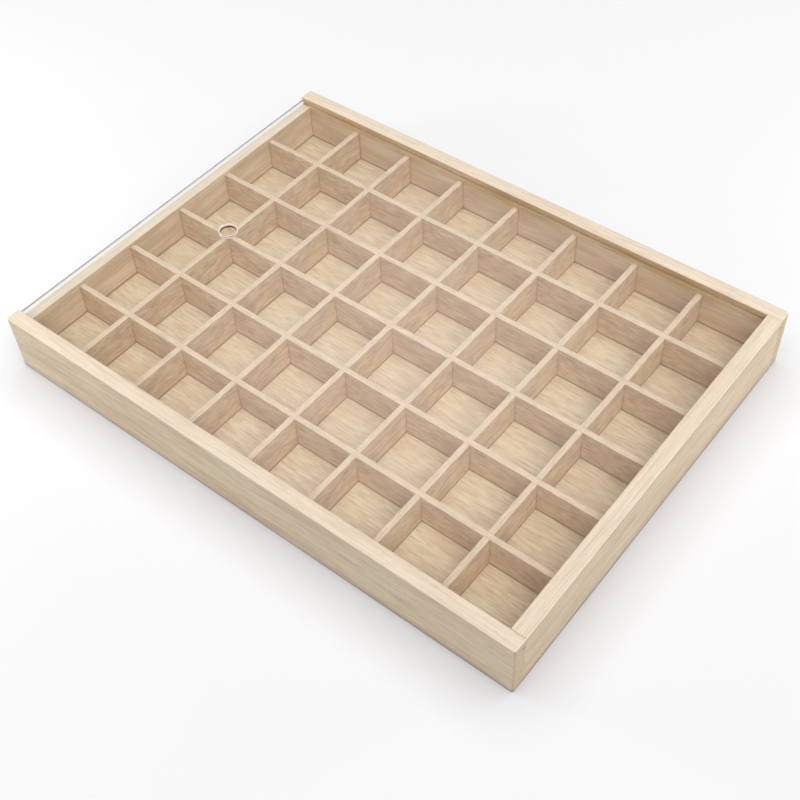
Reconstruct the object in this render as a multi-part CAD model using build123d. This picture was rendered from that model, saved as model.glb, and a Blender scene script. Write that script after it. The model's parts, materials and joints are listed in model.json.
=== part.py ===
"""Wooden collection case: four boards, a raised bottom panel, a half-lapped grid of dividers and a clear
sliding lid with a finger hole.

Millimetres, +Z up. The origin is under the middle of the whole case, on the surface it stands on. +X points to the
closed end; the lid slides out of the open end, towards -X. -Y is the front side board, +Y the back one.
"""
from build123d import *
import os

# Boards of the case
case_length = 400.0              # over the boards, closed end to open end
case_width = 300.0               # over the two side boards
case_height = 45.0
side_thickness = 10.0
closed_end_thickness = 10.0
open_end_thickness = 7.5
board_arris = 0.4                # small chamfer around the top, which a hand meets
upright_arris = 0.8              # at the four outer corners
foot_arris = 0.8                 # around the foot, so that the case stands just inside its faces

# Sliding lid and the groove it runs in
lid_thickness = 3.0
lid_play = 0.25                  # above the lid in its groove, and below it
lid_side_play = 0.5              # beside the lid in its groove, and behind it when it is shut
lid_groove_depth = 3.0
lip_height = 4.5                 # wood left above the groove
lid_overhang = 2.0               # how far the shut lid stands out past the open end
lid_arris = 0.3
open_end_clearance = 0.2         # from the top of the open end board up to the groove's floor
plug_gap = 0.5                   # left open under the plug that closes each groove at the closed end

# Finger hole in the lid
finger_hole_diameter = 12.0
finger_hole_setback = 54.5       # hole centre to the outer face of the open end board

# Bottom panel, held in stopped grooves
bottom_thickness = 4.0
bottom_raise = 5.5               # open height under the panel
bottom_groove_depth = 4.0
bottom_edge_play = 0.3           # between the panel's edge and the end of its groove

# Grid of dividers, half-lapped where they cross
divider_thickness = 3.8
divider_drop = 3.0               # from the groove's floor down to the tops of the dividers
divider_end_gap = 0.3            # between a divider's end and the board it faces
slot_clearance = 0.2             # over the divider's thickness, in a half-lap slot
cells_along_length = 8
cells_along_width = 6

# Heights worked out from the sizes above
lid_groove_height = lid_thickness + 2 * lid_play
lid_groove_top = case_height - lip_height
lid_groove_floor = lid_groove_top - lid_groove_height
lid_underside = lid_groove_floor + lid_play
bottom_top = bottom_raise + bottom_thickness
divider_top = lid_groove_floor - divider_drop
half_lap = (bottom_top + divider_top) / 2
open_end_height = lid_groove_floor - open_end_clearance

# Places along the case, with the overhanging lid counted in the whole
x_closed = (case_length + lid_overhang) / 2
x_open = x_closed - case_length
x_inner_closed = x_closed - closed_end_thickness
x_inner_open = x_open + open_end_thickness
y_outer = case_width / 2
y_inner = y_outer - side_thickness
inner_length = x_inner_closed - x_inner_open
inner_width = 2 * y_inner


def block(x0, x1, y0, y1, z0, z1):
    """A square-cornered block between two corners."""
    return Pos((x0 + x1) / 2, (y0 + y1) / 2, (z0 + z1) / 2) * Box(x1 - x0, y1 - y0, z1 - z0)


def edges_at(shape, tests):
    """The straight edges of a shape whose middle passes every test."""
    return [edge for edge in shape.edges() if all(test(edge.center()) for test in tests)]


def near(value, target):
    return abs(value - target) < 1e-4


def bottom_groove(past):
    """The space that the bottom panel's groove takes, to be cut out of each board around it."""
    reach = bottom_groove_depth + past
    return block(
        x_inner_open - reach, x_inner_closed + reach,
        -y_inner - reach, y_inner + reach,
        bottom_raise, bottom_top,
    )


def side_board(side):
    """A side board runs the whole length of the case; side is -1 for the front one and 1 for the back one."""
    y_faces = sorted((side * y_inner, side * y_outer))
    board = block(x_open, x_closed, *y_faces, 0, case_height)
    uprights = edges_at(board, [lambda c: near(c.Y, side * y_outer), lambda c: near(c.Z, case_height / 2)])
    board = chamfer(uprights, upright_arris)
    board = chamfer(edges_at(board, [lambda c: near(c.Z, case_height)]), board_arris)
    board = chamfer(edges_at(board, [lambda c: near(c.Z, 0), lambda c: not near(c.Y, side * y_inner)]), foot_arris)
    board -= block(x_open - 1, x_closed + 1, *groove_sides(side), lid_groove_floor, lid_groove_top)
    return board - bottom_groove(past=0)


def groove_sides(side):
    """The open side and the blind side of the lid's groove in a side board, lowest first."""
    return sorted((side * y_inner, side * (y_inner + lid_groove_depth)))


def groove_plug(side):
    """A plug of wood in the end of a side board's groove, past the lid, flush with the closed end."""
    return block(
        x_inner_closed + lid_groove_depth, x_closed, *groove_sides(side), lid_groove_floor + plug_gap, lid_groove_top
    )


def closed_end_board():
    """The full-height end board, between the side boards, with the groove that takes the lid's inner end."""
    board = block(x_inner_closed, x_closed, -y_inner, y_inner, 0, case_height)
    top = edges_at(board, [lambda c: near(c.Y, 0), lambda c: near(c.Z, case_height)])
    foot = edges_at(board, [lambda c: near(c.X, x_closed), lambda c: near(c.Z, 0)])
    board = chamfer(foot, foot_arris)
    board = chamfer(top, board_arris)
    board -= block(
        x_inner_closed, x_inner_closed + lid_groove_depth, -y_inner, y_inner, lid_groove_floor, lid_groove_top
    )
    return board - bottom_groove(past=0)


def open_end_board():
    """The low end board, which the lid slides over."""
    board = block(x_open, x_inner_open, -y_inner, y_inner, 0, open_end_height)
    top = edges_at(board, [lambda c: near(c.Y, 0), lambda c: near(c.Z, open_end_height)])
    foot = edges_at(board, [lambda c: near(c.X, x_open), lambda c: near(c.Z, 0)])
    board = chamfer(foot, foot_arris)
    board = chamfer(top, board_arris)
    return board - bottom_groove(past=0)


def bottom_panel():
    """The thin panel that the dividers stand on, with its edges in the grooves."""
    return bottom_groove(past=-bottom_edge_play)


def sliding_lid():
    """The clear sheet, with eased edges and a round finger hole near its outer end."""
    length_inside = lid_groove_depth - lid_side_play
    x0 = x_open - lid_overhang
    x1 = x_inner_closed + length_inside
    y1 = y_inner + lid_groove_depth - lid_side_play
    sheet = block(x0, x1, -y1, y1, lid_underside, lid_underside + lid_thickness)
    hole = Pos(x_open + finger_hole_setback, 0, lid_underside + lid_thickness / 2)
    sheet -= hole * Cylinder(finger_hole_diameter / 2, 2 * lid_thickness)
    rims = [edge for edge in sheet.edges() if near(edge.center().Z, lid_underside + lid_thickness)]
    rims += [edge for edge in sheet.edges() if near(edge.center().Z, lid_underside)]
    return chamfer(rims, lid_arris)


def divider_places(start, length, cells):
    """The middles of the dividers that share a length into equal cells."""
    cell = (length - (cells - 1) * divider_thickness) / cells
    return [start + i * (cell + divider_thickness) - divider_thickness / 2 for i in range(1, cells)]


cross_places = divider_places(x_inner_open, inner_length, cells_along_length)
long_places = divider_places(-y_inner, inner_width, cells_along_width)
half_divider = divider_thickness / 2
half_slot = half_divider + slot_clearance / 2


def cross_divider(x):
    """A divider across the case, slotted from its top edge for each long divider."""
    y1 = y_inner - divider_end_gap
    divider = block(x - half_divider, x + half_divider, -y1, y1, bottom_top, divider_top)
    for y in long_places:
        divider -= block(
            x - divider_thickness, x + divider_thickness, y - half_slot, y + half_slot,
            half_lap, divider_top + divider_thickness,
        )
    return divider


def long_divider(y):
    """A divider along the case, slotted from its foot, so that its top edge runs unbroken over the crossings."""
    x0 = x_inner_open + divider_end_gap
    x1 = x_inner_closed - divider_end_gap
    divider = block(x0, x1, y - half_divider, y + half_divider, bottom_top, divider_top)
    for x in cross_places:
        divider -= block(
            x - half_slot, x + half_slot, y - divider_thickness, y + divider_thickness,
            bottom_top - divider_thickness, half_lap,
        )
    return divider


# Each piece under the name of its file
pieces = {
    "front_side_board": side_board(-1),
    "back_side_board": side_board(1),
    "closed_end_board": closed_end_board(),
    "open_end_board": open_end_board(),
    "front_groove_plug": groove_plug(-1),
    "back_groove_plug": groove_plug(1),
    "bottom_panel": bottom_panel(),
    "sliding_lid": sliding_lid(),
}
for number, x in enumerate(cross_places, 1):
    pieces[f"cross_divider_{number}"] = cross_divider(x)
for number, y in enumerate(long_places, 1):
    pieces[f"long_divider_{number}"] = long_divider(y)

os.makedirs("parts", exist_ok=True)
for name, shape in pieces.items():
    export_step(shape, f"parts/{name}.step")

print(f"cell {cross_places[1] - cross_places[0] - divider_thickness:.2f} mm along the case,"
      f" {long_places[1] - long_places[0] - divider_thickness:.2f} mm across it,"
      f" {divider_top - bottom_top:.2f} mm deep")
print(f"cross dividers at x {[round(x, 2) for x in cross_places]}")
print(f"long dividers at y {[round(y, 2) for y in long_places]}")
print(f"lid {lid_underside:.2f} to {lid_underside + lid_thickness:.2f}, hole at x {x_open + finger_hole_setback:.2f}")
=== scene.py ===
"""The looks of a wooden collection case: eased pieces, each with its own grain, and a clear sliding lid.

Metres, +Z up, in the packed model's frame. Every piece is made in place, so its object stays at the origin.
"""
import json
import math
import random

import bmesh
import bpy
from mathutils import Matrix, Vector


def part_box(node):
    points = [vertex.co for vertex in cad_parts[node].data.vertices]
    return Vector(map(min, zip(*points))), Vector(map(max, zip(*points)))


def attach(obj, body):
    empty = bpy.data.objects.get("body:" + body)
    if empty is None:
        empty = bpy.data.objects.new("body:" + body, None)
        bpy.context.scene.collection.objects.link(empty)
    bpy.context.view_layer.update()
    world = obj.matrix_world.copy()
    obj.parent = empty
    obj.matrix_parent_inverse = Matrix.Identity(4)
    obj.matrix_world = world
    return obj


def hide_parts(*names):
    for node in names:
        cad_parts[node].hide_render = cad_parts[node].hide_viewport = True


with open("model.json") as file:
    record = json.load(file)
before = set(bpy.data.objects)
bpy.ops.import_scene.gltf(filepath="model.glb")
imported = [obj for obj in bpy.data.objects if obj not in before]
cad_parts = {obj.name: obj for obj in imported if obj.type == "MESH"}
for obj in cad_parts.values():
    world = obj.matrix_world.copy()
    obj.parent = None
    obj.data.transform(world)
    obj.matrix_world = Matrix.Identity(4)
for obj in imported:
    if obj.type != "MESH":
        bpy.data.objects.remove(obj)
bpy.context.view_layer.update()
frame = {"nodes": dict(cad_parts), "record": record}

bl_info = {
    "name": "Collection Case",
    "version": (1, 0, 0),
    "blender": (4, 5, 0),
    "location": "3D View > Sidebar > Collection Case",
    "description": "Dresses a wooden collection case with a sliding lid, and sets a studio stage for it",
    "category": "Object",
}

# How the pieces are named in the packed model, and the axis that the grain of each board runs along
ALONG_X = 0
ALONG_Y = 1
BOARDS = {
    "front_board": ("front_side_board", ALONG_X),
    "back_board": ("back_side_board", ALONG_X),
    "end_board": ("closed_end_board", ALONG_Y),
    "low_end_board": ("open_end_board", ALONG_Y),
    "front_plug": ("front_groove_plug", ALONG_X),
    "back_plug": ("back_groove_plug", ALONG_X),
}
SIDE_BOARDS = ["front_side_board", "back_side_board"]
END_BOARDS = ["open_end_board", "closed_end_board"]
PLUGS = ["front_groove_plug", "back_groove_plug"]
CROSS_DIVIDERS = sorted(n for n in frame["nodes"] if n.startswith("cross_divider_"))
LONG_DIVIDERS = sorted(n for n in frame["nodes"] if n.startswith("long_divider_"))

# Real sizes of the wood's figure, in metres
FIGURE_SIZE = (0.25, 0.045)   # how far growth rings run along and across the grain before they wander
WANDER = 0.0035               # how far they wander
FIBRE_SIZE = (0.016, 0.00042)  # single fibres are finer, and are drawn this coarse so that they show
PORE_SIZE = (0.0045, 0.00022)  # open pores, which look like short dark dashes
PORE_DEPTH = 0.00006
PITH_DISTANCE = (0.07, 0.11)  # from a piece's origin to the middle of the tree, nearest and furthest
PITH_ANGLE = (25, 60)         # degrees up from level; halfway, rings cross a piece's face and its edge alike
RUNOUT = 0.02                 # how far the grain drifts sideways in each metre, at most, as a share

# How the wood's figure shows; a range is the part of a noise over which a mark grows from nothing to full
FINE_DETAIL = 2.0             # how many finer layers each noise has
NO_DETAIL = 0.0
STREAK_RANGE = (0.42, 0.75)
FIBRE_RANGE = (0.4, 0.8)
PORE_RANGE = (0.62, 0.72)
BLUSH_RANGE = (0.35, 0.7)
PORE_SHARE = 0.25             # how much a pore darkens the wood
YEAR_STOPS = (                # part of a year's growth, and how dark its wood is
    (0.0, 0.45), (0.14, 0.0), (0.55, 0.25), (0.9, 1.0), (1.0, 0.45),
)
UNEVEN_YEARS = 2.4            # how many years' growth the rings stray from even growth
UNEVEN_SCALE = 0.35           # how much of a new stray each year brings
UNEVEN_DETAIL = 1.0
END_SHARE = 0.28              # how much darker a sawn end is
ARRIS_HIGHLIGHT = 0.7             # how much of the paler arris colour, a painted highlight, shows on an arris that faces up
TOP_HIGHLIGHT = 0.5              # how much of that painted highlight shows on the flat top of a piece
MATT_RANGE = (0.58, 0.74)     # roughness of plain wood, and of wood that is thick with fibres
SHEEN = 0.35                  # bare wood mirrors less than most things do
RELIEF = 0.6                  # how strongly the grain's relief shows
FIBRE_RELIEF = 0.6            # depth of the fibres, as a share of the pores'

# Dust and old glue in the joints, with painted shade along them and in the corners, gaps and grooves; painted
# shade on the outer faces
SEAM_HEIGHT = 0.0024          # how far dust, glue and painted shade darken the wood above the panel, along each joint
CORNER_REACH = 0.0015         # how far painted shade darkens the wood beside the upright corners of the compartments
CORNER_SHARE = 0.33           # how much painted shade darkens those corners
CORNER_TOP = 0.0003           # how far below the top of the dividers the painted shade in the corners stops
CORNER_FADE = 0.0001          # how far above and below that they fade
GLUE_REACH = 0.0006           # how far glue on top, and painted shadow in the gap under each plug, darken the edges of the joints that show outside
GLUE_SHARE = 0.17             # how much glue darkens the joints on the top
GAP_SHADE = 0.0008             # how far up each plug the painted shadow in the gap under it reaches
GROOVE_REACH = 0.0003         # the lid's play in its grooves, and a little more
GROOVE_SHARE = 0.1            # how much dust and painted shade darken the grooves
# colour of the dust and old glue, which also paints the shade in the joints
DUST_AND_SHADE = "#9C6C0C"
DUST_AND_SHADE_SHARE = 0.72             # how much of that colour shows where the dust and painted shade are thickest
DUST_AND_SHADE_FULL = 0.6               # the least mark at which they are that thick
OUTER_SHADE = "#8C7B8A"           # painted shade on the outer faces, grey-purple like the shadow under the foot
OUTER_SHADE_HEIGHTS = (           # height as a share of the case's, and how much of that colour shows there: painted shade deepest at the foot, and a little under the top
    (0.0, 0.8), (0.028, 0.8), (0.045, 0.26), (0.09, 0.15), (0.17, 0.06),
    (0.8, 0.06), (0.89, 0.12), (0.965, 0.1), (0.985, 0.0),
)
OUTER_CORNER_SHARE = 0.2          # how much of that colour darkens the upright corners of the case

# Bends that a thin divider has in each metre
BOW_SCALE = 11.0

# Marks that a saw and a drill leave in the lid's edges, in metres
SAW_MARK = 0.0004
SAW_DEPTH = 0.00002

# Seeds of all that is random
BOARD_SEED = 11
PANEL_SEED = 5
DIVIDER_SEED = 23
BOW_SEED = 4.0

# Tolerances of the mesh work
WELD = 1e-6
FLAT = math.radians(1)
SHARP = math.radians(30)
SQUARE_ON = 0.999             # a face whose normal has this much of one axis lies square to it
FACES_UP = 0.3                # an arris whose normal has at least this much of +Z is one that a hand wears
CUTS_ACROSS = 0.6             # an arris whose normal has at least this much of +Z faces up, and takes the painted highlight
OUTER_REACH = 0.001           # a face that lies this near the case's sides, or nearer, is one of them
UPRIGHT = 0.5                 # a face of the lid whose normal has less of Z than this is a wall and not a rim
SAME_COUNT = 0.1              # whole numbers that differ by less than this are the same
ARRIS_STEPS = 3
HOLE_STEPS = 96


def linear(hex_colour):
    """An sRGB colour such as #E8D6B4 as the linear red, green and blue that shaders work in."""
    shares = [int(hex_colour[i:i + 2], 16) / 255 for i in (1, 3, 5)]
    return tuple(s / 12.92 if s <= 0.04045 else ((s + 0.055) / 1.055) ** 2.4 for s in shares)


def colour_setting(name, description, hex_colour):
    return bpy.props.FloatVectorProperty(
        name=name, description=description, subtype="COLOR", size=3, min=0, max=1, default=linear(hex_colour)
    )


def length_setting(name, description, metres):
    return bpy.props.FloatProperty(
        name=name, description=description, unit="LENGTH", subtype="DISTANCE", min=0, precision=5,
        default=metres,
    )


def share_setting(name, description, share):
    return bpy.props.FloatProperty(
        name=name, description=description, subtype="FACTOR", min=0, max=1, default=share
    )


def number_setting(name, description, number, unit="NONE"):
    return bpy.props.FloatProperty(name=name, description=description, unit=unit, min=0, default=number)


def angle_setting(name, description, degrees):
    return bpy.props.FloatProperty(
        name=name, description=description, subtype="ANGLE", default=math.radians(degrees)
    )


def vector_setting(name, description, numbers, subtype="TRANSLATION"):
    return bpy.props.FloatVectorProperty(
        name=name, description=description, subtype=subtype, size=len(numbers), default=numbers
    )


# What can be set for each of the three woods
WOOD_SETTINGS = {
    "pale": (colour_setting, "Pale wood", "Wood laid down in spring"),
    # Inner faces have a colour of their own: painted shade on the boards' inner faces, and painted light on
    # the dividers' walls, which are paler than their tops
    "inside": (colour_setting, "Inner faces", "Spring wood inside the case, planed and never sanded"),
    "dark": (colour_setting, "Dark wood", "The thin line that ends each year's growth"),
    "blush": (colour_setting, "Blush", "Patches of warmer wood"),
    # the sanded arris colour is a painted highlight on the tops and on arrises that face up
    "arris": (colour_setting, "Sanded arris", "Corners where fresh wood shows"),
    "blush_length": (length_setting, "Blush length", "Length of a patch of warmer wood"),
    "blush_width": (length_setting, "Blush width", "Width of a patch of warmer wood"),
    "ring_width": (length_setting, "Ring width", "One year's growth"),
    "ring_strength": (share_setting, "Ring strength", "How strongly the rings show"),
    "streak_length": (length_setting, "Streak length", "Length of a bundle of fibres"),
    "streak_width": (length_setting, "Streak width", "Width of a bundle of fibres"),
    "streak_strength": (share_setting, "Streak strength", "How strongly the bundles show"),
    "fibre_strength": (share_setting, "Fibre strength", "How strongly single fibres show"),
}


def wood_group(class_name, pieces, **defaults):
    """A class of settings for the wood of some pieces, with a default for each."""
    settings = {
        key: setting(name, description, defaults[key])
        for key, (setting, name, description) in WOOD_SETTINGS.items()
    }
    return type(class_name, (bpy.types.PropertyGroup,), {"__doc__": pieces, "__annotations__": settings})


BoardWoodSettings = wood_group(
    "BoardWoodSettings", "The four boards of the case",
    pale="#FDECCE", inside="#E5C399", dark="#B69C72", blush="#F8E0C3", arris="#FFF0E3",
    blush_length=0.06, blush_width=0.012, ring_width=0.0036, ring_strength=0.16,
    streak_length=0.034, streak_width=0.001, streak_strength=0.46, fibre_strength=0.28,
)
PanelWoodSettings = wood_group(
    "PanelWoodSettings", "The bottom panel",
    pale="#F2E3C3", inside="#F5E5C8", dark="#B58D64", blush="#E6C09B", arris="#F2E3C3",
    blush_length=0.022, blush_width=0.007, ring_width=0.0042, ring_strength=0.12,
    streak_length=0.011, streak_width=0.0013, streak_strength=0.78, fibre_strength=0.28,
)
DividerWoodSettings = wood_group(
    "DividerWoodSettings", "The dividers",
    pale="#EDCFAB", inside="#F3D6AE", dark="#A67C54", blush="#E3C197", arris="#FDE8D6",
    blush_length=0.012, blush_width=0.006, ring_width=0.0030, ring_strength=0.1,
    streak_length=0.008, streak_width=0.0009, streak_strength=0.54, fibre_strength=0.4,
)


class CaseShapeSettings(bpy.types.PropertyGroup):
    """Sizes of the small shapes that a hand feels"""
    board_arris: length_setting("Board arris", "Radius sanded onto the corners of the boards", 0.0002)
    divider_arris: length_setting("Divider arris", "Radius sanded onto the corners of the dividers", 0.0004)
    slot_clearance: length_setting("Slot clearance", "Room over a divider's thickness in a half lap", 0.0002)
    divider_bow: length_setting("Divider bow", "How far thin dividers stray from straight", 0.00012)
    lid_arris: length_setting("Lid arris", "Radius polished onto the lid's edges", 0.0003)
    hole_diameter: length_setting("Finger hole", "Diameter of the finger hole", 0.012)


class LidSettings(bpy.types.PropertyGroup):
    """The clear lid"""
    tint: colour_setting("Tint", "What the sheet lets through", "#FDFEFD")
    ior: number_setting("Index of refraction", "How much the sheet bends light", 1.49)
    roughness: share_setting("Roughness", "Haze of the polished faces", 0.0)
    matt_roughness: share_setting("Matt roughness", "Haze of the sawn and drilled edges", 0.45)
    edge_colour: colour_setting("Sawn edge", "The sheet seen edge on, where it carries light away", "#CBC4C6")
    edge_clearness: share_setting("Sawn clearness", "Share of light that still goes through a sawn edge", 0.5)
    # painted shade and reflection: the brown stands for the wood under the hole, mirrored and in the wall's
    # shadow
    wall_shade_colour: colour_setting("Drilled wall", "The hole's wall, which mirrors the wood under it", "#7C5442")
    wall_clearness: share_setting("Wall clearness", "Share of light that goes through the hole's wall", 0.25)
    rim_colour: colour_setting("Drilled rim", "The white ring that the drill leaves around it", "#FFF0E6")
    rim_width: length_setting("Rim width", "Width of that ring on the flat of the sheet", 0.0008)
    rim_depth: length_setting("Rim depth", "How far that ring reaches down the hole's wall", 0.0013)


class StageSettings(bpy.types.PropertyGroup):
    """The floor, the light and the camera"""
    floor_colour: colour_setting("Floor", "Card that the case stands on", "#CBCBCD")
    floor_size: length_setting("Floor size", "Edge of the square floor", 12.0)
    floor_glow: share_setting("Floor glow", "White added to the card where it is looked at", 0.372)
    shade_reach: length_setting("Shade reach", "How far from the case the added white fades", 0.04)
    shade_depth: number_setting("Shade depth", "How quickly the added white fades towards the case", 1.5)
    horizon_light: share_setting("Horizon light", "Light of the room just above the floor", 0.04)
    zenith_light: number_setting("Zenith light", "Light of the room straight above", 0.544)
    mirrored_level: share_setting("Mirrored level", "How bright the room is in the lid", 0.776)
    white_level: share_setting("White level", "How bright the room is where it is looked at", 0.95)
    top_light: share_setting("Top light", "Light of the soft lamp above", 0.2)
    top_spread: angle_setting("Top spread", "How wide the soft lamp above looks", 60)
    top_direction: vector_setting("Top direction", "Where it hangs", (0.1, 0.0, 1.0), "DIRECTION")
    fill_light: share_setting("Fill light", "Light of the soft lamp behind the camera", 0.43)
    fill_spread: angle_setting("Fill spread", "How wide the soft lamp behind the camera looks", 50)
    fill_direction: vector_setting("Fill direction", "Where it hangs", (0.88, -0.55, 1.19), "DIRECTION")
    left_power: number_setting("Left lamp", "Power of the soft lamp to the camera's left", 0.98, "POWER")
    left_place: vector_setting("Left lamp place", "Middle of that lamp", (-0.6, -0.35, 0.2))
    right_power: number_setting("Right lamp", "Power of the soft lamp to the camera's right", 0.62, "POWER")
    right_place: vector_setting("Right lamp place", "Middle of that lamp", (0.55, 0.45, 0.2))
    side_size: length_setting("Side lamp size", "Edge of the square soft lamps", 0.2)
    box_glow: number_setting("Soft box glow", "Light in the middle of the box that the lid mirrors", 1.25)
    box_size: vector_setting("Soft box size", "Width and height of the soft box", (2.2, 1.6))
    box_place: vector_setting("Soft box place", "Middle of the soft box", (-0.93, 1.125, 1.75))
    camera_place: vector_setting("Camera place", "Where the picture is taken", (0.3627, -0.4151, 0.6108))
    camera_turn: vector_setting(
        "Camera turn", "How the camera is turned", tuple(map(math.radians, (40.220, 2.146, 38.352))), "EULER"
    )
    camera_lens: number_setting("Lens", "Focal length on a 36 mm sensor", 55.573, "CAMERA")


def add_node(tree, kind, feeds=None, **settings):
    """Add a node with these settings, and feed its inputs.

    An input is fed from a value, from a socket, or from a node, which stands for its first output in use.
    """
    node = tree.nodes.new(kind)
    for name, value in settings.items():
        setattr(node, name, value)
    for name, value in (feeds or {}).items():
        if isinstance(value, bpy.types.Node):
            value = next(output for output in value.outputs if output.enabled)
        if isinstance(value, bpy.types.NodeSocket):
            tree.links.new(value, node.inputs[name])
        else:
            node.inputs[name].default_value = value
    return node


def new_material(name):
    """An empty material and its node tree."""
    material = bpy.data.materials.new(name)
    material.use_nodes = True
    material.node_tree.nodes.clear()
    return material, material.node_tree


def fill_ramp(ramp, stops):
    """Give a colour ramp these (place, grey) stops."""
    while len(ramp.elements) < len(stops):
        ramp.elements.new(0.5)
    for element, (place, grey) in zip(ramp.elements, stops):
        element.position = place
        element.color = (grey, grey, grey, 1.0)


def drawn_out_noise(tree, log_place, size, detail=FINE_DETAIL):
    """Noise with blobs of this length along the grain and this width across it."""
    length, width = size
    place = add_node(tree, "ShaderNodeVectorMath", {
        0: log_place,
        1: (length, width, width),
    }, operation="DIVIDE")
    return add_node(tree, "ShaderNodeTexNoise", {"Vector": place, "Scale": 1.0, "Detail": detail})


def drawn_out_marks(tree, log_place, size, grows_over, strength=1.0, detail=FINE_DETAIL, growth="LINEAR"):
    """Marks of this size in the wood, each of which grows to full strength over a range of its noise."""
    return add_node(tree, "ShaderNodeMapRange", {
        "Value": drawn_out_noise(tree, log_place, size, detail),
        "From Min": grows_over[0],
        "From Max": grows_over[1],
        "To Max": strength,
    }, interpolation_type=growth)


def growth_rings(tree, log_place, look):
    """How much the rings darken the wood: how far a point lies from the wandering pith, counted in years."""
    figure = drawn_out_noise(tree, log_place, FIGURE_SIZE)
    wander = add_node(tree, "ShaderNodeVectorMath", {
        0: figure.outputs["Color"],
        1: (0.0, 2 * WANDER, 2 * WANDER),
        2: log_place,
    }, operation="MULTIPLY_ADD")
    across = add_node(tree, "ShaderNodeVectorMath", {0: wander, 1: (0.0, 1.0, 1.0)}, operation="MULTIPLY")
    radius = add_node(tree, "ShaderNodeVectorMath", {0: across}, operation="LENGTH")
    years = add_node(tree, "ShaderNodeMath", {0: radius, 1: look.ring_width}, operation="DIVIDE")
    stray = add_node(tree, "ShaderNodeTexNoise", {
        "W": years,
        "Scale": UNEVEN_SCALE,
        "Detail": UNEVEN_DETAIL,
    }, noise_dimensions="1D")
    age = add_node(tree, "ShaderNodeMath", {0: stray, 1: UNEVEN_YEARS, 2: years}, operation="MULTIPLY_ADD")
    part_of_year = add_node(tree, "ShaderNodeMath", {0: age}, operation="FRACT")
    season = add_node(tree, "ShaderNodeValToRGB", {"Fac": part_of_year})
    fill_ramp(season.color_ramp, YEAR_STOPS)
    whole_years = add_node(tree, "ShaderNodeMath", {0: age}, operation="FLOOR")
    strength = add_node(tree, "ShaderNodeTexWhiteNoise", {"W": whole_years}, noise_dimensions="1D")
    ring = add_node(tree, "ShaderNodeMath", {0: season, 1: strength}, operation="MULTIPLY")
    return add_node(tree, "ShaderNodeMath", {0: ring, 1: look.ring_strength}, operation="MULTIPLY")


def painted_outer_shade(tree, mark):
    """How much handling darkens the outer faces: towards the foot, under the top, and at the corners."""
    place = add_node(tree, "ShaderNodeTexCoord").outputs["Object"]
    height = add_node(tree, "ShaderNodeSeparateXYZ", {"Vector": place}).outputs["Z"]
    share = add_node(tree, "ShaderNodeMath", {0: height, 1: outside_of_case()[1].z}, operation="DIVIDE")
    at_height = add_node(tree, "ShaderNodeValToRGB", {"Fac": share})
    fill_ramp(at_height.color_ramp, OUTER_SHADE_HEIGHTS)
    return add_node(tree, "ShaderNodeMath", {
        0: at_height,
        1: mark["outer"],
        2: mark["corner"],
    }, operation="MULTIPLY_ADD")


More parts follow.
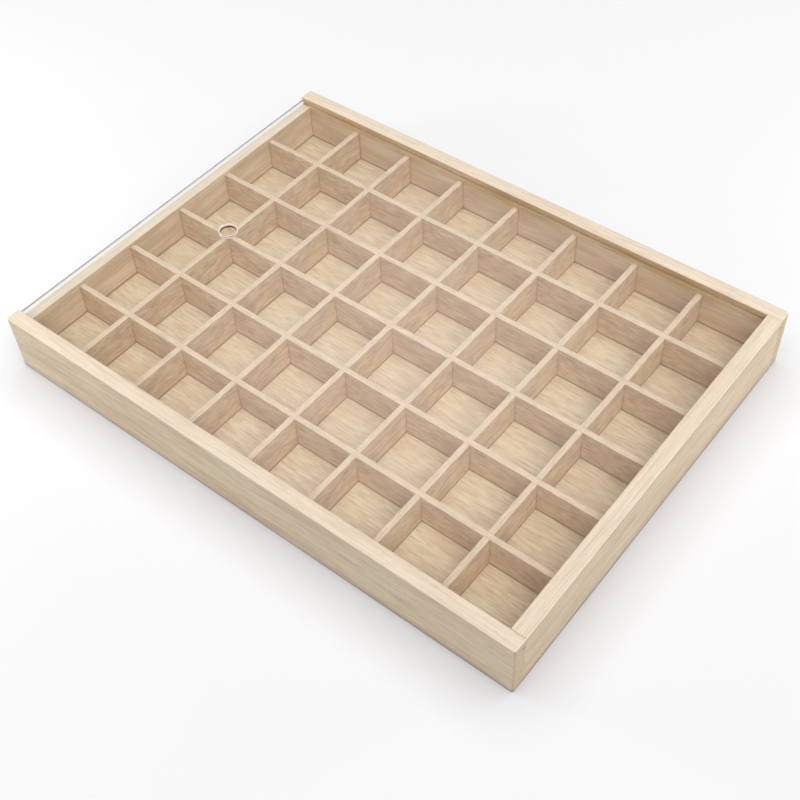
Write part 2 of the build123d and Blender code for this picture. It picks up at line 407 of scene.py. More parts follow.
def figured_wood(name, look):
    """Pale, unfinished, straight-grained wood, planed and sanded.

    The growth rings are cylinders round the pith, so they run on from a board's face over its arris onto its
    edge, and show as arcs on its ends. Each piece has its own place in the log as the attribute log_place.
    """
    material, tree = new_material(name)
    log_place = add_node(tree, "ShaderNodeAttribute", attribute_name="log_place").outputs["Vector"]
    # sanded marks where the painted highlight lies
    mark = {
        key: add_node(tree, "ShaderNodeAttribute", attribute_name=key).outputs["Fac"]
        for key in ("end_grain", "sanded", "inner", "outer", "corner", "glue_dust_and_shade", "seam_dust_and_shade")
    }

    # Bundles of fibre, single fibres, pores and rings darken the wood
    streak_size = (look.streak_length, look.streak_width)
    streaks = drawn_out_marks(tree, log_place, streak_size, STREAK_RANGE, look.streak_strength)
    fibres = drawn_out_marks(tree, log_place, FIBRE_SIZE, FIBRE_RANGE, look.fibre_strength)
    pores = drawn_out_marks(tree, log_place, PORE_SIZE, PORE_RANGE, detail=NO_DETAIL)
    bundled = add_node(tree, "ShaderNodeMath", {0: streaks, 1: fibres}, operation="ADD")
    ringed = add_node(tree, "ShaderNodeMath", {
        0: bundled,
        1: growth_rings(tree, log_place, look),
    }, operation="ADD", use_clamp=True)
    grain = add_node(tree, "ShaderNodeMath", {
        0: pores,
        1: PORE_SHARE,
        2: ringed,
    }, operation="MULTIPLY_ADD", use_clamp=True)

    # Some of it is warmer, sawn ends drink in more light, and dust, old glue and painted shade lie along the
    # joints
    blush_size = (look.blush_length, look.blush_width)
    patches = drawn_out_marks(tree, log_place, blush_size, BLUSH_RANGE, growth="SMOOTHSTEP")
    end_share = add_node(tree, "ShaderNodeMath", {0: mark["end_grain"], 1: END_SHARE}, operation="MULTIPLY")
    highlight_cover = add_node(tree, "ShaderNodeMath", {0: mark["sanded"], 1: ARRIS_HIGHLIGHT}, operation="MULTIPLY")
    dust_and_shade_mark = add_node(tree, "ShaderNodeMath", {0: mark["seam_dust_and_shade"], 1: mark["glue_dust_and_shade"]}, operation="MAXIMUM")
    dust_and_shade_cover = add_node(tree, "ShaderNodeMapRange", {
        "Value": dust_and_shade_mark,
        "From Max": DUST_AND_SHADE_FULL,
        "To Max": DUST_AND_SHADE_SHARE,
    }, interpolation_type="SMOOTHSTEP")

    # Each layer of colour covers its share of what is under it
    layers = (
        # painted shade on the boards' inner faces, painted light on the dividers' walls
        (mark["inner"], look.inside),
        (patches, look.blush),
        (grain, look.dark),
        (end_share, look.dark),
        # painted highlight on the tops and on the arrises that face up
        (highlight_cover, look.arris),
        # painted shade on the outer faces, deepest at the foot
        (painted_outer_shade(tree, mark), linear(OUTER_SHADE)),
        # dust and glue, with painted shade, in the joints
        (dust_and_shade_cover, linear(DUST_AND_SHADE)),
    )
    colour = (*look.pale, 1.0)
    for share, cover in layers:
        colour = add_node(tree, "ShaderNodeMix", {
            "Factor": share,
            "A": colour,
            "B": (*cover, 1.0),
        }, data_type="RGBA")

    # The surface: pores are open, and raised fibres are a little smoother than the rest
    hollows = add_node(tree, "ShaderNodeMath", {
        0: fibres,
        1: FIBRE_RELIEF,
        2: pores,
    }, operation="MULTIPLY_ADD")
    bump = add_node(tree, "ShaderNodeBump", {
        "Height": hollows,
        "Strength": RELIEF,
        "Distance": PORE_DEPTH,
    }, invert=True)
    roughness = add_node(tree, "ShaderNodeMapRange", {
        "Value": bundled,
        "To Min": MATT_RANGE[0],
        "To Max": MATT_RANGE[1],
    })
    shader = add_node(tree, "ShaderNodeBsdfPrincipled", {
        "Base Color": colour,
        "Roughness": roughness,
        "Specular IOR Level": SHEEN,
        "Normal": bump,
    })
    add_node(tree, "ShaderNodeOutputMaterial", {"Surface": shader})
    return material


def board_wood():
    """Paulownia, planed and sanded and left bare: pale, silky, with fine rings and a matt surface."""
    return figured_wood("Bare paulownia boards", bpy.context.scene.board_wood)


def panel_wood():
    """A thin sheet of paulownia with its grain along the case: broader, yellower figure than the boards."""
    return figured_wood("Bare paulownia panel", bpy.context.scene.panel_wood)


def divider_wood():
    """Thin sawn paulownia strips, a little pinker and plainer than the boards."""
    return figured_wood("Bare paulownia strips", bpy.context.scene.divider_wood)


def matt_acrylic(name, colour, clearness):
    """Acrylic where a tool has cut it: fine marks that catch the light and let only a share of it through."""
    look = bpy.context.scene.lid_look
    material, tree = new_material(name)
    place = add_node(tree, "ShaderNodeTexCoord").outputs["Object"]
    marks = add_node(tree, "ShaderNodeTexNoise", {"Vector": place, "Scale": 1 / SAW_MARK})
    edge = add_node(tree, "ShaderNodeBsdfPrincipled", {
        "Base Color": (*colour, 1.0),
        "Roughness": look.matt_roughness,
        "IOR": look.ior,
        "Transmission Weight": clearness,
        "Normal": add_node(tree, "ShaderNodeBump", {"Height": marks, "Distance": SAW_DEPTH}),
    })
    add_node(tree, "ShaderNodeOutputMaterial", {"Surface": edge})
    return material


def clear_acrylic():
    """Cast acrylic sheet: clear, flat and glossy, and lit through.

    Lamps and light that bounces inside the case pass straight through, as they nearly do through thin sheet.
    """
    look = bpy.context.scene.lid_look
    material, tree = new_material("Clear cast acrylic")
    path = add_node(tree, "ShaderNodeLightPath").outputs
    straight = add_node(tree, "ShaderNodeMath", {
        0: path["Is Shadow Ray"],
        1: path["Is Diffuse Ray"],
    }, operation="MAXIMUM")
    glass = add_node(tree, "ShaderNodeBsdfPrincipled", {
        "Base Color": (*look.tint, 1.0),
        "Roughness": look.roughness,
        "IOR": look.ior,
        "Transmission Weight": 1.0,
    })
    clear = add_node(tree, "ShaderNodeBsdfTransparent", {"Color": (*look.tint, 1.0)})
    mixed = add_node(tree, "ShaderNodeMixShader", {0: straight, 1: glass, 2: clear})
    add_node(tree, "ShaderNodeOutputMaterial", {"Surface": mixed})
    return material


def new_piece(name, mesh):
    piece = bpy.data.objects.new(name, mesh)
    bpy.context.scene.collection.objects.link(piece)
    return piece


def settle_modifiers(piece):
    """Turn a piece with its modifiers into one plain mesh."""
    depsgraph = bpy.context.evaluated_depsgraph_get()
    mesh = bpy.data.meshes.new_from_object(piece.evaluated_get(depsgraph))
    piece.modifiers.clear()
    piece.data = mesh
    mesh.name = piece.name


def ease_corners(piece, radius):
    """Round over every sharp corner of a piece."""
    piece.data.shade_smooth()
    bevel = piece.modifiers.new("Eased corners", "BEVEL")
    bevel.width = radius
    bevel.segments = ARRIS_STEPS
    bevel.limit_method = "ANGLE"
    bevel.angle_limit = SHARP
    bevel.harden_normals = True
    return bevel


def ease_above_panel(piece, radius):
    """Round over the sharp corners of a divider, apart from those that close its joint with the panel."""
    panel_top = inside_of_case()[0].z
    bevel = ease_corners(piece, radius)
    bevel.limit_method = "WEIGHT"
    shape = bmesh.new()
    shape.from_mesh(piece.data)
    eased = shape.edges.layers.float.new("bevel_weight_edge")
    for edge in shape.edges:
        if edge.calc_face_angle(0.0) > SHARP:
            in_joint = all(abs(point.co.z - panel_top) < WELD for point in edge.verts)
            edge[eased] = 0.0 if in_joint else 1.0
            edge.smooth = not in_joint
    shape.to_mesh(piece.data)
    shape.free()


def copy_of_node(name, node):
    """A new piece in the shape of a packed node, with each flat face whole again."""
    shape = bmesh.new()
    shape.from_mesh(frame["nodes"][node].data)
    bmesh.ops.remove_doubles(shape, verts=shape.verts, dist=WELD)
    bmesh.ops.dissolve_limit(shape, angle_limit=FLAT, verts=shape.verts, edges=shape.edges)
    mesh = bpy.data.meshes.new(name)
    shape.to_mesh(mesh)
    shape.free()
    return new_piece(name, mesh)


def cut(piece, cuts):
    """Give a piece points along planes, each given by a place on it and its normal."""
    shape = bmesh.new()
    shape.from_mesh(piece.data)
    for place, normal in cuts:
        everything = shape.verts[:] + shape.edges[:] + shape.faces[:]
        bmesh.ops.bisect_plane(shape, geom=everything, plane_co=place, plane_no=normal)
    shape.to_mesh(piece.data)
    shape.free()


def cut_at_height(piece, *heights):
    """Give a piece points at these heights."""
    cut(piece, [((0, 0, height), (0, 0, 1)) for height in heights])


def cut_at_joints(piece, along):
    """Give a piece points wherever the dust in a joint starts or fades out."""
    cut_at_height(piece, inside_of_case()[0].z + SEAM_HEIGHT)
    places = []
    for low, high in walls_across(along):
        places += (low - CORNER_REACH, low, high, high + CORNER_REACH)
    cut(piece, [((place, place, 0), (1 - along, along, 0)) for place in places])


def walls_across(along):
    """Where the walls stand that a piece along this axis meets, as the low and the high side of each."""
    walls = (CROSS_DIVIDERS + END_BOARDS, LONG_DIVIDERS + SIDE_BOARDS)[along]
    return [(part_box(wall)[0][along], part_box(wall)[1][along]) for wall in walls]


def corners_top():
    """How high the dust beside the upright corners of the compartments reaches."""
    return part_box(CROSS_DIVIDERS[0])[1].z - CORNER_TOP


def inside_of_case():
    """The lowest and highest corner of the space between the four boards, above the panel."""
    open_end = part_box("open_end_board")[1]
    low = Vector((open_end.x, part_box("front_side_board")[1].y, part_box("bottom_panel")[1].z))
    return low, Vector((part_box("closed_end_board")[0].x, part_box("back_side_board")[0].y, open_end.z))


def outside_of_case():
    """The lowest and highest corner of the four boards together."""
    front_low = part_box("front_side_board")[0]
    back_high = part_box("back_side_board")[1]
    low = Vector((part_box("open_end_board")[0].x, front_low.y, front_low.z))
    return low, Vector((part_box("closed_end_board")[1].x, back_high.y, back_high.z))


def glue_lines():
    """Boxes around the two joints on top and the gap under each plug, and how dark each of them is."""
    low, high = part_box("closed_end_board")
    lines = [(Vector((low.x, y, high.z)), Vector((high.x, y, high.z)), GLUE_SHARE) for y in (low.y, high.y)]
    for plug in PLUGS:
        low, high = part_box(plug)
        # the gap under each plug is painted fully dark, as its shadow
        lines.append((low, Vector((high.x, high.y, low.z)), 1.0))
    reach = Vector((GLUE_REACH, GLUE_REACH, GLUE_REACH))
    return [(low - reach, high + reach, share) for low, high, share in lines]


def lid_grooves():
    """A box that holds the lid's grooves in the boards."""
    low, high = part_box("sliding_lid")
    play = Vector((GLUE_REACH, GLUE_REACH, GROOVE_REACH))
    return low - play, high + play


def is_between(place, low, high):
    """Whether a place lies in the box between two corners, or on its surface."""
    return all(low[i] - WELD < place[i] < high[i] + WELD for i in range(3))


def glue_and_shade_share(place, lines, grooves):
    """How much old glue or dust darkens a face outside the compartments, from its middle."""
    shares = [share for low, high, share in lines if is_between(place, low, high)]
    return max(shares + [GROOVE_SHARE if is_between(place, *grooves) else 0.0])


def outer_sides(face, low, high):
    """Whether a face lies on a side of the case across X, and whether it lies on one across Y."""
    return [min(abs(face.center[i] - low[i]), abs(face.center[i] - high[i])) < OUTER_REACH for i in (0, 1)]


def painted_highlight_share(face, top):
    """How much fresh wood shows on a face: all on an arris that faces up, less on the flat top of a piece."""
    if face.normal.z > SQUARE_ON:
        return TOP_HIGHLIGHT if face.center.z > top - WELD else 0.0
    return float(face.normal.z > FACES_UP)


def seam_share(place, corner_top, along, walls, low, high):
    """How much dust darkens a wall at a place: most at the panel, and some where it meets another wall."""
    if not is_between(place, low, high):
        return 0.0
    foot = 1 - (place.z - low.z) / SEAM_HEIGHT
    nearest = min(max(wall_low - place[along], place[along] - wall_high, 0) for wall_low, wall_high in walls)
    corner = CORNER_SHARE * (1 - nearest / CORNER_REACH) if place.z < corner_top else 0.0
    return max(foot, corner, 0.0)


def write_attribute(mesh, name, kind, domain, field, values):
    """Add an attribute to a mesh and fill it, as one step, because adding one moves the others in memory."""
    attribute = mesh.attributes.new(name, kind, domain)
    attribute.data.foreach_set(field, values)


def lay_grain(piece, along, draw):
    """Write each point's place in the log and its dust on a wooden piece, and mark what its faces are."""
    mesh = piece.data
    angle = math.radians(draw.uniform(*PITH_ANGLE))
    distance = draw.uniform(*PITH_DISTANCE)
    sideways = draw.choice((-1, 1))
    pith = Vector((draw.uniform(-1, 1), sideways * distance * math.cos(angle), distance * math.sin(angle)))
    drift = Vector((0, draw.uniform(-RUNOUT, RUNOUT), draw.uniform(-RUNOUT, RUNOUT)))
    inside = inside_of_case()
    walls = walls_across(along)
    places = []
    seams = []
    for point in mesh.vertices:
        grain = Vector((point.co[along], point.co[1 - along], point.co.z))
        places.extend(grain + grain.x * drift - pith)
        seams.append(seam_share(point.co, corners_top(), along, walls, *inside))

    top = max(point.co.z for point in mesh.vertices)
    lines = glue_lines()
    grooves = lid_grooves()
    marks = {"end_grain": [], "sanded": [], "inner": [], "outer": [], "corner": [], "glue_dust_and_shade": []}
    for face in mesh.polygons:
        sides = outer_sides(face, *outside_of_case())
        marks["end_grain"].append(float(abs(face.normal[along]) > CUTS_ACROSS))
        marks["sanded"].append(painted_highlight_share(face, top))
        marks["inner"].append(float(not any(sides) and face.center.z < top - WELD))
        marks["outer"].append(float(any(sides)))
        marks["corner"].append(OUTER_CORNER_SHARE if all(sides) and abs(face.normal.z) < FACES_UP else 0.0)
        marks["glue_dust_and_shade"].append(glue_and_shade_share(face.center, lines, grooves))

    write_attribute(mesh, "log_place", "FLOAT_VECTOR", "POINT", "vector", places)
    write_attribute(mesh, "seam_dust_and_shade", "FLOAT", "POINT", "value", seams)
    for name, values in marks.items():
        write_attribute(mesh, name, "FLOAT", "FACE", "value", values)


def dress(piece, material, body, slot, *nodes):
    """Give a finished piece its material, and let it stand for its nodes in the packed model."""
    piece.data.materials.clear()
    piece.data.materials.append(material)
    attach(piece, body)
    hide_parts(*nodes)


def divider_tree():
    """A node tree that makes one slotted divider from its sizes, turns it and puts it in its place."""
    tree = bpy.data.node_groups.new("Slotted divider", "GeometryNodeTree")
    inputs = {
        "Length": "Float", "Height": "Float", "Thickness": "Float", "Slots": "Int", "First slot": "Float",
        "Slot pitch": "Float", "Slot width": "Float", "Lap height": "Float", "Slotted from top": "Bool",
        "Place": "Vector", "Turn": "Rotation", "Bow": "Float", "Seed": "Float", "Wood": "Material",
    }
    for name, kind in inputs.items():
        tree.interface.new_socket(name, in_out="INPUT", socket_type="NodeSocket" + kind)
    tree.interface.new_socket("Divider", in_out="OUTPUT", socket_type="NodeSocketGeometry")
    size = add_node(tree, "NodeGroupInput").outputs
    known = {socket.name: socket for socket in size}
    known["index"] = add_node(tree, "GeometryNodeInputIndex")

    # A sheet with three rows of points, and a column of them at both ends and at both sides of each slot,
    # where points and faces are counted up each column. A line names a sum, its operation and what goes in.
    rows = 3
    sums = (
        ("last column", "MULTIPLY_ADD", "Slots", 2.0, 1.0),
        ("columns", "ADD", "last column", 1.0),
        ("columns passed", "DIVIDE", "index", rows),
        ("column", "FLOOR", "columns passed"),
        ("row", "MODULO", "index", rows),
        ("column after start", "SUBTRACT", "column", 1.0),
        ("slots passed", "DIVIDE", "column after start", 2.0),
        ("slot", "FLOOR", "slots passed"),
        ("far side", "MODULO", "column after start", 2.0),
        ("side", "SUBTRACT", "far side", 0.5),
        ("slot middle", "MULTIPLY_ADD", "slot", "Slot pitch", "First slot"),
        ("slot side", "MULTIPLY_ADD", "side", "Slot width", "slot middle"),
        ("at end", "COMPARE", "column", "last column", SAME_COUNT),
        ("past end", "MULTIPLY_ADD", "at end", "Length", "slot side"),
        ("from start", "MAXIMUM", "past end", 0.0),
        ("x", "MINIMUM", "from start", "Length"),
        ("above foot", "MINIMUM", "row", 1.0),
        ("lap or foot", "MULTIPLY", "above foot", "Lap height"),
        ("upper height", "SUBTRACT", "Height", "Lap height"),
        ("rows above lap", "SUBTRACT", "row", 1.0),
        ("above lap", "MAXIMUM", "rows above lap", 0.0),
        ("z", "MULTIPLY_ADD", "above lap", "upper height", "lap or foot"),
        ("half thickness", "MULTIPLY", "Thickness", 0.5),
        ("back to front", "MULTIPLY", "Thickness", -1.0),
        ("strips passed", "DIVIDE", "index", rows - 1),
        ("strip", "FLOOR", "strips passed"),
        ("is slot", "MODULO", "strip", 2.0),
        ("is upper row", "MODULO", "index", rows - 1),
        ("is cut row", "COMPARE", "is upper row", "Slotted from top", SAME_COUNT),
        ("is cut", "MULTIPLY", "is slot", "is cut row"),
    )
    for name, operation, *values in sums:
        feeds = {place: known.get(value, value) for place, value in enumerate(values)}
        known[name] = add_node(tree, "ShaderNodeMath", feeds, operation=operation)

    # Stand the sheet up, cut the slots out, then give it its thickness
    sheet = add_node(tree, "GeometryNodeMeshGrid", {"Vertices X": known["columns"], "Vertices Y": rows})
    point = add_node(tree, "ShaderNodeCombineXYZ", {
        "X": known["x"],
        "Y": known["half thickness"],
        "Z": known["z"],
    })
    upright = add_node(tree, "GeometryNodeSetPosition", {"Geometry": sheet, "Position": point})
    slotted = add_node(tree, "GeometryNodeDeleteGeometry", {
        "Geometry": upright,
        "Selection": known["is cut"],
    }, domain="FACE")
    across = add_node(tree, "ShaderNodeCombineXYZ", {"Y": known["back to front"]})
    thick = add_node(tree, "GeometryNodeExtrudeMesh", {
        "Mesh": slotted,
        "Offset": across,
        "Individual": False,
    })
    back = add_node(tree, "GeometryNodeFlipFaces", {"Mesh": slotted})
    both = add_node(tree, "GeometryNodeJoinGeometry", {"Geometry": thick})
    tree.links.new(back.outputs["Mesh"], both.inputs["Geometry"])
    solid = add_node(tree, "GeometryNodeMergeByDistance", {"Geometry": both, "Distance": WELD})
    placed = add_node(tree, "GeometryNodeTransform", {
        "Geometry": solid,
        "Translation": size["Place"],
        "Rotation": size["Turn"],
    })

    # A slow bow, the same for all dividers at one place, so that crossing dividers stay in each other's slots
    position = add_node(tree, "GeometryNodeInputPosition")
    level = add_node(tree, "ShaderNodeVectorMath", {0: position, 1: (1.0, 1.0, 0.0)}, operation="MULTIPLY")
    drift = add_node(tree, "ShaderNodeTexNoise", {
        "Vector": level,
        "W": size["Seed"],
        "Scale": BOW_SCALE,
        "Detail": NO_DETAIL,
    }, noise_dimensions="4D")
    centred = add_node(tree, "ShaderNodeVectorMath", {
        0: drift.outputs["Color"],
        1: (0.5, 0.5, 0.5),
    }, operation="SUBTRACT")
    sideways = add_node(tree, "ShaderNodeVectorMath", {0: centred, 1: (2.0, 2.0, 0.0)}, operation="MULTIPLY")
    offset = add_node(tree, "ShaderNodeVectorMath", {0: sideways, "Scale": size["Bow"]}, operation="SCALE")
    bowed = add_node(tree, "GeometryNodeSetPosition", {"Geometry": placed, "Offset": offset})
    real = add_node(tree, "GeometryNodeRealizeInstances", {"Geometry": bowed})
    wooden = add_node(tree, "GeometryNodeSetMaterial", {"Geometry": real, "Material": size["Wood"]})
    add_node(tree, "NodeGroupOutput", {"Divider": wooden})
    return tree


def make_divider(tree, name, node, crossed, along, material, draw):
    """One divider in the place of a packed node, slotted for the dividers that it crosses."""
    shape = bpy.context.scene.case_shape
    low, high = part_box(node)
    slots = sorted((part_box(other)[0][along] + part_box(other)[1][along]) / 2 for other in crossed)
    thickness = high[1 - along] - low[1 - along]
    middle = (low[1 - along] + high[1 - along]) / 2
    piece = new_piece(name, bpy.data.meshes.new(name))
    modifier = piece.modifiers.new("Slotted divider", "NODES")
    modifier.node_group = tree
    values = {
        "Length": high[along] - low[along],
        "Height": high.z - low.z,
        "Thickness": thickness,
        "Slots": len(slots),
        "First slot": slots[0] - low[along],
        "Slot pitch": (slots[-1] - slots[0]) / (len(slots) - 1),
        "Slot width": thickness + shape.slot_clearance,
        "Lap height": (high.z - low.z) / 2,
        "Slotted from top": along == ALONG_Y,
        "Place": (low.x, middle, low.z) if along == ALONG_X else (middle, low.y, low.z),
        "Turn": (0.0, 0.0, 0.0 if along == ALONG_X else math.pi / 2),
        "Bow": shape.divider_bow,
        "Seed": BOW_SEED,
        "Wood": material,
    }
    sockets = {s.name: s.identifier for s in tree.interface.items_tree if s.in_out == "INPUT"}
    for setting, value in values.items():
        modifier[sockets[setting]] = value
    settle_modifiers(piece)
    cut_at_joints(piece, along)
    ease_above_panel(piece, shape.divider_arris)
    settle_modifiers(piece)
    lay_grain(piece, along, draw)
    dress(piece, material, "case", "divider_wood", node)


def hole_centre():
    """The middle of the finger hole, on the lid's upper face."""
    hole = next(o["box_m"] for o in frame["record"]["physics"]["openings"] if o["name"] == "finger_hole")
    return Vector(((hole[0][0] + hole[1][0]) / 2, (hole[0][1] + hole[1][1]) / 2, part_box("sliding_lid")[1].z))


def rim_radii():
    """How far the finger hole reaches from its middle, and how far the drilled rim around it does."""
    hole = bpy.context.scene.case_shape.hole_diameter / 2
    return hole, hole + bpy.context.scene.lid_look.rim_width


def lid_outline():
    """Two flat halves that meet along the finger hole's middle line, with a ring round the hole."""
    low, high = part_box("sliding_lid")
    centre = hole_centre()
    hole_radius, rim_radius = rim_radii()
    arc = [math.pi * i / (HOLE_STEPS / 2) for i in range(HOLE_STEPS // 2 + 1)]
    outline = bmesh.new()
    for side, far in ((-1, low.y), (1, high.y)):
        spokes = [Vector((math.cos(a), side * math.sin(a), 0)) for a in arc]
        hole = [outline.verts.new(centre + hole_radius * s) for s in spokes]
        rim = [outline.verts.new(centre + rim_radius * s) for s in spokes]
        corners = [(low.x, centre.y), (low.x, far), (high.x, far), (high.x, centre.y)]
        outline.faces.new(rim + [outline.verts.new((x, y, high.z)) for x, y in corners])
        for i in range(len(arc) - 1):
            outline.faces.new((hole[i], hole[i + 1], rim[i + 1], rim[i]))
    bmesh.ops.remove_doubles(outline, verts=outline.verts, dist=WELD)
    bmesh.ops.recalc_face_normals(outline, faces=outline.faces)
    for face in outline.faces:
        if face.normal.z < 0:
            face.normal_flip()
    mesh = bpy.data.meshes.new("acrylic_lid")
    outline.to_mesh(mesh)
    outline.free()
    return mesh


def lid_finish(face, centre):
    """Which of the lid's materials a face has: clear, sawn, drilled wall or drilled rim, in that order."""
    if (face.center - centre).xy.length < rim_radii()[1]:
        rim_bottom = centre.z - bpy.context.scene.lid_look.rim_depth
        return 2 if abs(face.normal.z) < UPRIGHT and face.center.z < rim_bottom else 3
    return int(abs(face.normal.z) < SQUARE_ON)


class CASE_OT_boards(bpy.types.Operator):
    """Dress the four boards of the case and the plugs in their grooves"""
    bl_idname = "collection_case.boards"
    bl_label = "Boards"

    def execute(self, context):
        material = board_wood()
        draw = random.Random(BOARD_SEED)
        plug_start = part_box(PLUGS[0])[0]
        for name, (node, along) in BOARDS.items():
            piece = copy_of_node(name, node)
            cut_at_joints(piece, along)
            # The painted shadow in the gap under each plug ends a little way up the plug, and the painted
            # shade fades out near the top of the corners
            if node in PLUGS:
                cut_at_height(piece, plug_start.z + GAP_SHADE)
            else:
                cut_at_height(piece, corners_top() - CORNER_FADE, corners_top() + CORNER_FADE)
            if node in SIDE_BOARDS:
                cut(piece, [(plug_start, (1, 0, 0))])
            ease_corners(piece, context.scene.case_shape.board_arris)
            settle_modifiers(piece)
            lay_grain(piece, along, draw)
            dress(piece, material, "case", "case_board_wood", node)
        return {"FINISHED"}


class CASE_OT_panel(bpy.types.Operator):
    """Dress the bottom panel"""
    bl_idname = "collection_case.panel"
    bl_label = "Bottom panel"

    def execute(self, context):
        piece = copy_of_node("floor_panel", "bottom_panel")
        ease_corners(piece, context.scene.case_shape.board_arris)
        settle_modifiers(piece)
        lay_grain(piece, ALONG_X, random.Random(PANEL_SEED))
        dress(piece, panel_wood(), "case", "panel_wood", "bottom_panel")
        return {"FINISHED"}


class CASE_OT_dividers(bpy.types.Operator):
    """Make the half-lapped dividers"""
    bl_idname = "collection_case.dividers"
    bl_label = "Dividers"

    def execute(self, context):
        material = divider_wood()
        tree = divider_tree()
        draw = random.Random(DIVIDER_SEED)
        for number, node in enumerate(CROSS_DIVIDERS, 1):
            make_divider(tree, f"cross_strip_{number}", node, LONG_DIVIDERS, ALONG_Y, material, draw)
        for number, node in enumerate(LONG_DIVIDERS, 1):
            make_divider(tree, f"long_strip_{number}", node, CROSS_DIVIDERS, ALONG_X, material, draw)
        return {"FINISHED"}


class CASE_OT_lid(bpy.types.Operator):
    """Make the clear sliding lid"""
    bl_idname = "collection_case.lid"
    bl_label = "Sliding lid"

    def execute(self, context):
        look = context.scene.lid_look
        low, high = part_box("sliding_lid")
        piece = new_piece("acrylic_lid", lid_outline())
        sheet = piece.modifiers.new("Sheet", "SOLIDIFY")
        sheet.thickness = high.z - low.z
        sheet.offset = -1
        settle_modifiers(piece)
        cut_at_height(piece, high.z - look.rim_depth)
        ease_corners(piece, context.scene.case_shape.lid_arris)
        settle_modifiers(piece)
        dress(piece, clear_acrylic(), "lid", "clear_acrylic", "sliding_lid")
        for name, colour, clearness in (
            ("Sawn acrylic edge", look.edge_colour, look.edge_clearness),
            # the drilled wall's brown is painted shade and reflection of the wood below
            ("Drilled acrylic wall shade", look.wall_shade_colour, look.wall_clearness),
            ("Drilled acrylic rim", look.rim_colour, 0.0),
        ):
            piece.data.materials.append(matt_acrylic(name, colour, clearness))
        centre = hole_centre()
        for face in piece.data.polygons:
            face.material_index = lid_finish(face, centre)
        return {"FINISHED"}


def share_looked_at(tree):
    """One where the eye looks, straight or by something clear or glossy, and nought where light falls."""
    path = add_node(tree, "ShaderNodeLightPath").outputs
    looked_at = path["Is Camera Ray"]
    for kind in ("Is Glossy Ray", "Is Transmission Ray"):
        looked_at = add_node(tree, "ShaderNodeMath", {0: looked_at, 1: path[kind]}, operation="MAXIMUM")
    return looked_at


def white_card(look):
    """Matt white card: even and pale, with a share of its white added only where it is looked at.

    That share fades where something stands on the card, so that the card keeps its shadow.
    """
    material, tree = new_material("Matt white card")
    openness = add_node(tree, "ShaderNodeAmbientOcclusion", {"Distance": look.shade_reach})
    shaded = add_node(tree, "ShaderNodeMath", {
        0: openness.outputs["AO"],
        1: look.shade_depth,
    }, operation="POWER")
    white = add_node(tree, "ShaderNodeMath", {0: shaded, 1: look.floor_glow}, operation="MULTIPLY")
    strength = add_node(tree, "ShaderNodeMath", {0: share_looked_at(tree), 1: white}, operation="MULTIPLY")
    card = add_node(tree, "ShaderNodeBsdfDiffuse", {"Color": (*look.floor_colour, 1.0)})
    glow = add_node(tree, "ShaderNodeEmission", {"Strength": strength})
    both = add_node(tree, "ShaderNodeAddShader", {0: card, 1: glow})
    add_node(tree, "ShaderNodeOutputMaterial", {"Surface": both})
    return material


def soft_box(look):
    """The glow of a soft box, brightest in its middle, which fades out before its edge."""
    material, tree = new_material("Soft box glow")
    place = add_node(tree, "ShaderNodeVectorMath", {
        0: add_node(tree, "ShaderNodeTexCoord").outputs["Object"],
        1: (look.box_size[0] / 2, look.box_size[1] / 2, 1.0),
    }, operation="DIVIDE")
    strength = add_node(tree, "ShaderNodeMapRange", {
        "Value": add_node(tree, "ShaderNodeVectorMath", {0: place}, operation="LENGTH"),
        "To Min": look.box_glow,
        "To Max": 0.0,
    }, interpolation_type="SMOOTHERSTEP")
    glow = add_node(tree, "ShaderNodeEmission", {"Strength": strength})
    clear = add_node(tree, "ShaderNodeBsdfTransparent")
    both = add_node(tree, "ShaderNodeAddShader", {0: glow, 1: clear})
    add_node(tree, "ShaderNodeOutputMaterial", {"Surface": both})
    return material


def studio_world(look):
    """Light from all around that grows towards the zenith, and shows as even white where it is looked at."""
    world = bpy.data.worlds.new("Studio")
    world.use_nodes = True
    tree = world.node_tree
    tree.nodes.clear()
    direction = add_node(tree, "ShaderNodeTexCoord").outputs["Generated"]
    sky = add_node(tree, "ShaderNodeMapRange", {
        "Value": add_node(tree, "ShaderNodeSeparateXYZ", {"Vector": direction}).outputs["Z"],
        "To Min": look.horizon_light,
        "To Max": look.zenith_light,
    })
    mirrored = add_node(tree, "ShaderNodeMapRange", {
        "Value": share_looked_at(tree),
        "To Min": sky,
        "To Max": look.mirrored_level,
    })
    strength = add_node(tree, "ShaderNodeMapRange", {
        "Value": add_node(tree, "ShaderNodeLightPath").outputs["Is Camera Ray"],
        "To Min": mirrored,
        "To Max": look.white_level,
    })
    light = add_node(tree, "ShaderNodeBackground", {"Color": (1.0, 1.0, 1.0, 1.0), "Strength": strength})
    add_node(tree, "ShaderNodeOutputWorld", {"Surface": light})
    return world


def hang_lamp(lamp_data, place):
    """Hang a lamp or a glowing card at a place, turned to the middle of the case and out of the picture."""
    lamp = new_piece(lamp_data.name, lamp_data)
    lamp.location = place
    lamp.rotation_euler = (-Vector(place)).to_track_quat("-Z", "Y").to_euler()
    lamp.visible_camera = False
    return lamp


def flat_card(name, width, height, material):
    """A flat rectangle, centred on its object."""
    x = width / 2
    y = height / 2
    mesh = bpy.data.meshes.new(name)
    mesh.from_pydata([(-x, -y, 0), (x, -y, 0), (x, y, 0), (-x, y, 0)], [], [(0, 1, 2, 3)])
    mesh.materials.append(material)
    return mesh


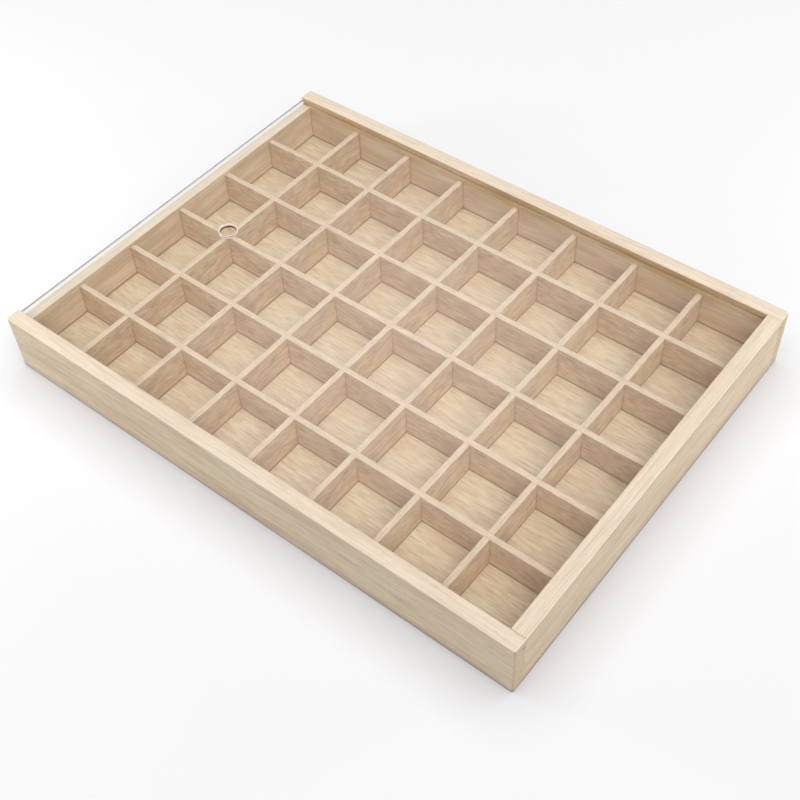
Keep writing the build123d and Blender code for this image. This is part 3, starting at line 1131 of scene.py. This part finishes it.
class CASE_OT_stage(bpy.types.Operator):
    """Lay the floor, hang the lamps and set the camera"""
    bl_idname = "collection_case.stage"
    bl_label = "Stage"

    def execute(self, context):
        scene = context.scene
        look = scene.stage_look
        floor_card = flat_card("floor_card", look.floor_size, look.floor_size, white_card(look))
        new_piece("floor_card", floor_card)
        scene.world = studio_world(look)
        for name, level, spread, direction in (
            ("top_lamp", look.top_light, look.top_spread, look.top_direction),
            ("fill_lamp", look.fill_light, look.fill_spread, look.fill_direction),
        ):
            far_lamp = bpy.data.lights.new(name, "SUN")
            far_lamp.energy = level * math.pi
            far_lamp.angle = spread
            hung = hang_lamp(far_lamp, direction)
            # The lid would mirror each lamp as a disc with a hard edge
            hung.visible_glossy = False
            hung.visible_transmission = False
        for name, power, place in (
            ("left_lamp", look.left_power, look.left_place),
            ("right_lamp", look.right_power, look.right_place),
        ):
            side_lamp = bpy.data.lights.new(name, "AREA")
            side_lamp.energy = power
            side_lamp.size = look.side_size
            hang_lamp(side_lamp, place)
        glow = hang_lamp(flat_card("soft_box", *look.box_size, soft_box(look)), look.box_place)
        glow.visible_diffuse = False
        glow.visible_shadow = False

        camera_data = bpy.data.cameras.new("camera")
        camera_data.lens = look.camera_lens
        camera = new_piece("camera", camera_data)
        camera.location = look.camera_place
        camera.rotation_euler = look.camera_turn
        scene.camera = camera
        scene.view_settings.view_transform = "Standard"
        return {"FINISHED"}


SETTINGS = {
    "case_shape": CaseShapeSettings,
    "board_wood": BoardWoodSettings,
    "panel_wood": PanelWoodSettings,
    "divider_wood": DividerWoodSettings,
    "lid_look": LidSettings,
    "stage_look": StageSettings,
}
OPERATORS = (CASE_OT_boards, CASE_OT_panel, CASE_OT_dividers, CASE_OT_lid, CASE_OT_stage)


class CASE_PT_sidebar(bpy.types.Panel):
    """Lists the settings and the steps that use them"""
    bl_label = "Collection Case"
    bl_idname = "CASE_PT_sidebar"
    bl_space_type = "VIEW_3D"
    bl_region_type = "UI"
    bl_category = "Collection Case"

    def draw(self, context):
        for name, group in SETTINGS.items():
            box = self.layout.box()
            box.label(text=group.__doc__)
            for setting in group.__annotations__:
                box.prop(getattr(context.scene, name), setting)
        for operator in OPERATORS:
            self.layout.operator(operator.bl_idname)


def register():
    for group in SETTINGS.values():
        bpy.utils.register_class(group)
    for name, group in SETTINGS.items():
        setattr(bpy.types.Scene, name, bpy.props.PointerProperty(type=group))
    for operator in OPERATORS:
        bpy.utils.register_class(operator)
    bpy.utils.register_class(CASE_PT_sidebar)


def unregister():
    bpy.utils.unregister_class(CASE_PT_sidebar)
    for operator in reversed(OPERATORS):
        bpy.utils.unregister_class(operator)
    for name in SETTINGS:
        delattr(bpy.types.Scene, name)
    for group in reversed(SETTINGS.values()):
        bpy.utils.unregister_class(group)


def main():
    register()
    bpy.ops.collection_case.stage()
    bpy.ops.collection_case.boards()
    bpy.ops.collection_case.panel()
    bpy.ops.collection_case.dividers()
    bpy.ops.collection_case.lid()


if __name__ == "__main__":
    main()
